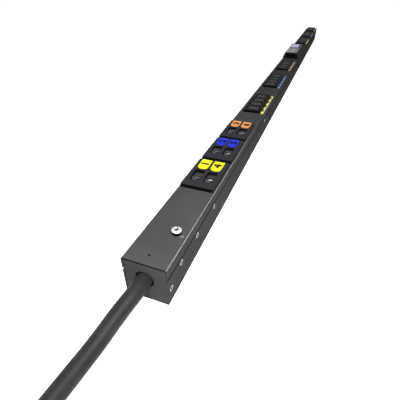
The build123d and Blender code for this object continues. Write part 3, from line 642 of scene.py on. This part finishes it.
def makeStripFigures(spec):
    for circuit in modules:
        figures = bmesh.new()
        cells = bmesh.new()
        for block in (circuit, circuit + 3):
            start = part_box(f"outlet_block_{block}")[0][1] + spec["firstOutlet"]
            for outlet in range(spec["outlets"]):
                y = start + (outlet + 0.5) * spec["outletPitch"]
                place = Matrix.Translation((spec["x"], y, spec["z"]))
                addBlock(cells, place, *spec["cell"], spec["thickness"])
                place = Matrix.Translation((spec["x"], y, spec["z"] + spec["thickness"]))
                addText(figures, str((block - 1) * spec["outlets"] + outlet + 1), spec["height"],
                        spec["weight"], spec["thickness"], place @ quarterTurn)
        finishPiece(figures, f"stripFigures{circuit}", inks["white"], "unit")
        finishPiece(cells, f"stripCells{circuit}", cellInks[circuit - 1], "unit")


makeStripFigures(stripFigures)

rockerMarks = {
    "halfLength": 0.0125,        # the rocker's face is a shallow V from end to end
    "endRise": 0.0044,
    "valley": 0.0028,
    "restTilt": math.radians(-10),
    "dotAcross": 0.0036,         # the dot's place towards the right wall
    "dotAlong": -0.0092,
    "dotRadius": 0.0027,
    "dotHole": 0.35,             # share of the dot's radius
    "barLength": 0.0044,
    "barWidth": 0.0008,
    "thickness": 0.00006,
}


def makeRockerMarks(spec):
    slope = math.atan((spec["endRise"] - spec["valley"]) / spec["halfLength"])
    middle = (spec["endRise"] + spec["valley"]) / 2
    height = spec["valley"] - spec["dotAlong"] * math.tan(slope)
    for joint in frame["joints"]:
        if joint["type"] != "hinge":
            continue
        rocker = joint["child"]
        pivot = Matrix.Translation(joint["pos_m"]) @ Matrix.Rotation(spec["restTilt"], 4, "X")
        near = pivot @ Matrix.Translation((spec["dotAcross"], spec["dotAlong"], height))
        near = near @ Matrix.Rotation(-slope, 4, "X")
        far = pivot @ Matrix.Translation((0, spec["halfLength"] / 2, middle)) @ Matrix.Rotation(slope, 4, "X")
        bar = bmesh.new()
        addBlock(bar, far, spec["barWidth"], spec["barLength"], spec["thickness"])
        finishPiece(bar, f"{rocker}Bar", inks["slate"], rocker)
        dot = bmesh.new()
        addRing(dot, near, spec["dotRadius"] * spec["dotHole"], spec["dotRadius"], spec["thickness"])
        # a printed mark, white on right rockers and grey on left ones: the difference is a painted highlight
        # where light catches the right near ends
        tone = "white" if rocker.endswith("right") else "grey"
        finishPiece(dot, f"{rocker}HighlightDot", inks[tone], rocker)


makeRockerMarks(rockerMarks)

earthMark = {
    "centre": (0.0197, -0.8625, 0.053),
    "bars": ((0.0042, 0.0), (0.0029, -0.0011), (0.0015, -0.0022)),   # length and place of each
    "barWidth": 0.0008,
    "stem": 0.0024,
    "thickness": 0.00005,
}


def makeEarthMark(spec):
    place = Matrix.Translation(spec["centre"]) @ quarterTurn
    bm = bmesh.new()
    for length, step in spec["bars"]:
        addBlock(bm, place @ Matrix.Translation((0, step, 0)), length, spec["barWidth"], spec["thickness"])
    addBlock(bm, place @ Matrix.Translation((0, spec["stem"] / 2, 0)), spec["barWidth"], spec["stem"],
             spec["thickness"])
    finishPiece(bm, "earthMark", inks["grey"], "unit")


makeEarthMark(earthMark)

screwRims = {
    "wallY": (-0.8795, -0.8330, -0.7715, -0.4435),   # only where turning screws rubbed the coat off
    "wallZ": 0.032,
    "tabY": (-0.9060, 0.9060),
    "tabZ": 0.0195,
    "inner": 0.0028,
    "outer": 0.0034,
    "thickness": 0.00006,
}


def makeScrewRims(spec):
    # bare bright steel round the countersinks
    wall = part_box("case_screws")[1][0]
    places = [(y, spec["wallZ"]) for y in spec["wallY"]] + [(y, spec["tabZ"]) for y in spec["tabY"]]
    bm = bmesh.new()
    for side in (-1, 1):
        for y, z in places:
            place = Matrix.Translation((side * wall, y, z)) @ Matrix.Rotation(side * math.pi / 2, 4, "Y")
            addRing(bm, place, spec["inner"], spec["outer"], spec["thickness"])
    finishPiece(bm, "screwRims", brightZinc, "unit")


makeScrewRims(screwRims)

pilotHoleShade = {
    "centre": (0.0, -0.9001),     # the small hole in the cover, near its cord end
    "inner": 0.0009,
    "outer": 0.0016,
    "thickness": 0.00005,
}


def makePilotHoleShade(spec):
    # painted shade: a black ring round the small hole in the cover
    bm = bmesh.new()
    place = Matrix.Translation((*spec["centre"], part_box("front_cover")[1][2]))
    addRing(bm, place, spec["inner"], spec["outer"], spec["thickness"])
    finishPiece(bm, "pilotHoleShade", inks["black"], "unit")


makePilotHoleShade(pilotHoleShade)

earthScrew = {
    "centre": (0.0122, -0.8595),
    "seat": 0.0573,               # top of the washer
    "profile": ((3.0, 1.50), (4.6, 1.30), (5.6, 0.85), (6.0, 0.35), (6.0, 0.0), (2.5, 0.0),
                (2.5, -9.0), (0.0, -9.0)),   # mm from the axis and above the seat
    "recessReach": 2.7,
    "recessHalf": 0.8,
    "recessDepth": 1.3,
    "steps": 48,
    "levelLimit": 0.05,           # faces whose normal rises less than this stay flat shaded
}


def makeEarthScrew(spec):
    # low pan head with a cross recess, spun with its shank
    bm = bmesh.new()
    verts = [bm.verts.new((r / 1000, 0, z / 1000)) for r, z in spec["profile"]]
    edges = [bm.edges.new(pair) for pair in zip(verts, verts[1:])]
    bmesh.ops.spin(bm, geom=verts + edges, cent=(0, 0, 0), axis=(0, 0, 1), angle=math.tau,
                   steps=spec["steps"], use_merge=True, use_duplicate=False)
    bmesh.ops.remove_doubles(bm, verts=bm.verts, dist=mergeDistance)
    rim = [e for e in bm.edges if e.is_boundary]
    top, reach, half = spec["profile"][0][1] / 1000, spec["recessReach"] / 1000, spec["recessHalf"] / 1000
    cross = []
    for quarter in (0, 3, 2, 1):
        turn = Matrix.Rotation(quarter * math.pi / 2, 4, "Z")
        for corner in ((half, half, top), (reach, half, top), (reach, -half, top)):
            cross.append(bm.verts.new(turn @ Vector(corner)))
    outline = [bm.edges.new((a, b)) for a, b in zip(cross, cross[1:] + cross[:1])]
    bmesh.ops.triangle_fill(bm, use_beauty=True, use_dissolve=False, edges=rim + outline)
    walls = bmesh.ops.extrude_edge_only(bm, edges=outline)["geom"]
    floor = [v for v in walls if isinstance(v, bmesh.types.BMVert)]
    bmesh.ops.translate(bm, vec=(0, 0, -spec["recessDepth"] / 1000), verts=floor)
    bottom = bmesh.ops.contextual_create(bm, geom=[e for e in bm.edges if e.is_boundary])["faces"]
    # painted shade: the cross recess's walls and floor take black ink
    for face in bottom + [f for f in walls if isinstance(f, bmesh.types.BMFace)]:
        face.material_index = 1
    bmesh.ops.translate(bm, vec=(*spec["centre"], spec["seat"]), verts=bm.verts)
    screw = finishPiece(bm, "earthScrew", nickel, "unit", inks["black"])
    for polygon in screw.data.polygons:
        polygon.use_smooth = abs(polygon.normal.z) > spec["levelLimit"] and polygon.material_index == 0
    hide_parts("earth_screw")


makeEarthScrew(earthScrew)

keypadMarks = {
    "size": 0.0020,
    "thickness": 0.00006,
    "turns": {"button_back": 180, "button_enter": 0, "button_down": -90, "button_up": 90},   # degrees
    "ringInner": 0.0046,
    "ringOuter": 0.0050,
    "ringSteps": 32,
}


def makeKeypadMarks(spec):
    rings = bmesh.new()
    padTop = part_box("keypad")[1][2]
    for button, turn in spec["turns"].items():
        low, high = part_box(button)
        x, y = (low[0] + high[0]) / 2, (low[1] + high[1]) / 2
        bm = bmesh.new()
        bmesh.ops.create_circle(bm, cap_ends=True, segments=3, radius=spec["size"])
        raised = bmesh.ops.extrude_face_region(bm, geom=bm.faces[:])["geom"]
        top = [v for v in raised if isinstance(v, bmesh.types.BMVert)]
        bmesh.ops.translate(bm, vec=(0, 0, spec["thickness"]), verts=top)
        place = Matrix.Translation((x, y, high[2])) @ Matrix.Rotation(math.radians(turn), 4, "Z")
        bmesh.ops.transform(bm, matrix=place, verts=bm.verts)
        finishPiece(bm, f"{button}Mark", inks["white"], button)
        addRing(rings, Matrix.Translation((x, y, padTop)), spec["ringInner"], spec["ringOuter"],
                spec["thickness"], spec["ringSteps"])
    finishPiece(rings, "keypadRings", inks["grey"], "unit")


makeKeypadMarks(keypadMarks)

screenFigures = {
    "rows": (("12.4", 0.0085, 0.060), ("230", 0.0062, 0.042), ("50.0", 0.0062, 0.026)),
    "middle": -0.0037,
    "weight": 0.02,
    "thickness": 0.00006,
    "sunk": 0.00003,             # into the panel
}


def makeScreenFigures(spec):
    low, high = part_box("display_screen")
    bm = bmesh.new()
    for text, height, up in spec["rows"]:
        place = Matrix.Translation((spec["middle"], low[1] + up, high[2] - spec["sunk"]))
        addText(bm, text, height, spec["weight"], spec["thickness"], place)
    finishPiece(bm, "screenFigures", inks["black"], "unit")


makeScreenFigures(screenFigures)

screenFrame = {
    "window": (-0.0165, 0.0090),   # metres across
    "farMargin": 0.004,
    "nearMargin": 0.010,
    "thickness": 0.00006,
}


def makeScreenFrame(spec):
    # print on the window round what shows of the panel, darker at its foot
    low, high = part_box("display_glass")
    left, right = spec["window"]
    near, far = low[1] + spec["nearMargin"], high[1] - spec["farMargin"]
    border = ((low[0], left, near, high[1]), (right, high[0], near, high[1]), (left, right, far, high[1]))
    foot = ((low[0], high[0], low[1], near),)
    for name, strips, tone in (("screenFrame", border, "paleSlate"), ("screenFoot", foot, "slate")):
        bm = bmesh.new()
        for x0, x1, y0, y1 in strips:
            place = Matrix.Translation(((x0 + x1) / 2, (y0 + y1) / 2, high[2]))
            addBlock(bm, place, x1 - x0, y1 - y0, spec["thickness"])
        finishPiece(bm, name, inks[tone], "unit")


makeScreenFrame(screenFrame)
print("printed marks ready")


# Stage: pale floor, white surroundings and soft lamps

stage = {
    "floorRadius": 14.0,
    "floorSides": 96,
    "floorColour": "#F4F4F4",
    "floorRoughness": 0.9,
    "floorGloss": 0.1,
    "floorGlow": 0.80,         # what the camera sees of the floor besides its lit colour
    "ambient": 0.155,
    "sun": {"strength": 0.27, "spread": 50.0, "tilt": (12.0, 14.0, 0.0)},   # degrees
    "key": {"place": (0.26, -1.20, 0.72), "target": (0.0, -0.84, 0.05), "size": 0.45, "watts": 10.5},
    "white": (1.0, 1.0, 1.0, 1.0),
}


def seenShare(tree):
    # 1 for what the camera sees, also in a reflection or through glass, and 0 for what lights
    rays = addNode(tree, "ShaderNodeLightPath").outputs
    share = rays["Is Camera Ray"]
    for name in ("Is Glossy Ray", "Is Transmission Ray"):
        share = addNode(tree, "ShaderNodeMath", {0: share, 1: rays[name]}, operation="ADD",
                        use_clamp=True).outputs[0]
    return share


def makeFloor(spec):
    bm = bmesh.new()
    bmesh.ops.create_circle(bm, cap_ends=True, segments=spec["floorSides"], radius=spec["floorRadius"])
    mesh = bpy.data.meshes.new("floor")
    bm.to_mesh(mesh)
    bm.free()
    floor = bpy.data.objects.new("floor", mesh)
    bpy.context.scene.collection.objects.link(floor)
    material, tree, shader = newMaterial("paperSweepFloor", {   # matt white studio paper
        "Base Color": linear(spec["floorColour"]), "Roughness": spec["floorRoughness"],
        "Specular IOR Level": spec["floorGloss"], "Emission Color": spec["white"]})
    glow = addNode(tree, "ShaderNodeMath", {0: seenShare(tree), 1: spec["floorGlow"]}, operation="MULTIPLY")
    tree.links.new(glow.outputs[0], shader.inputs["Emission Strength"])
    mesh.materials.append(material)


def makeSurroundings(spec):
    world = bpy.data.worlds.new("studio")
    bpy.context.scene.world = world
    world.use_nodes = True
    tree = world.node_tree
    tree.nodes.clear()
    soft = addNode(tree, "ShaderNodeBackground", {"Color": spec["white"], "Strength": spec["ambient"]})
    plain = addNode(tree, "ShaderNodeBackground", {"Color": spec["white"], "Strength": 1.0})
    mix = addNode(tree, "ShaderNodeMixShader", {0: seenShare(tree), 1: soft.outputs[0],
                                                2: plain.outputs[0]})
    addNode(tree, "ShaderNodeOutputWorld", {"Surface": mix.outputs[0]})


def makeLamps(spec):
    sun = bpy.data.lights.new("overhead", "SUN")
    sun.energy = spec["sun"]["strength"]
    sun.angle = math.radians(spec["sun"]["spread"])
    overhead = bpy.data.objects.new("overhead", sun)
    overhead.rotation_euler = [math.radians(angle) for angle in spec["sun"]["tilt"]]
    bpy.context.scene.collection.objects.link(overhead)

    key = bpy.data.lights.new("softbox", "AREA")
    key.shape = "SQUARE"
    key.size = spec["key"]["size"]
    key.energy = spec["key"]["watts"]
    softbox = bpy.data.objects.new("softbox", key)
    place = Vector(spec["key"]["place"])
    aim = Vector(spec["key"]["target"]) - place
    softbox.location = place
    softbox.rotation_euler = aim.to_track_quat("-Z", "Y").to_euler()
    bpy.context.scene.collection.objects.link(softbox)


makeFloor(stage)
makeSurroundings(stage)
makeLamps(stage)
bpy.context.scene.view_settings.view_transform = "Standard"
print("stage ready")

bpy.context.view_layer.update()
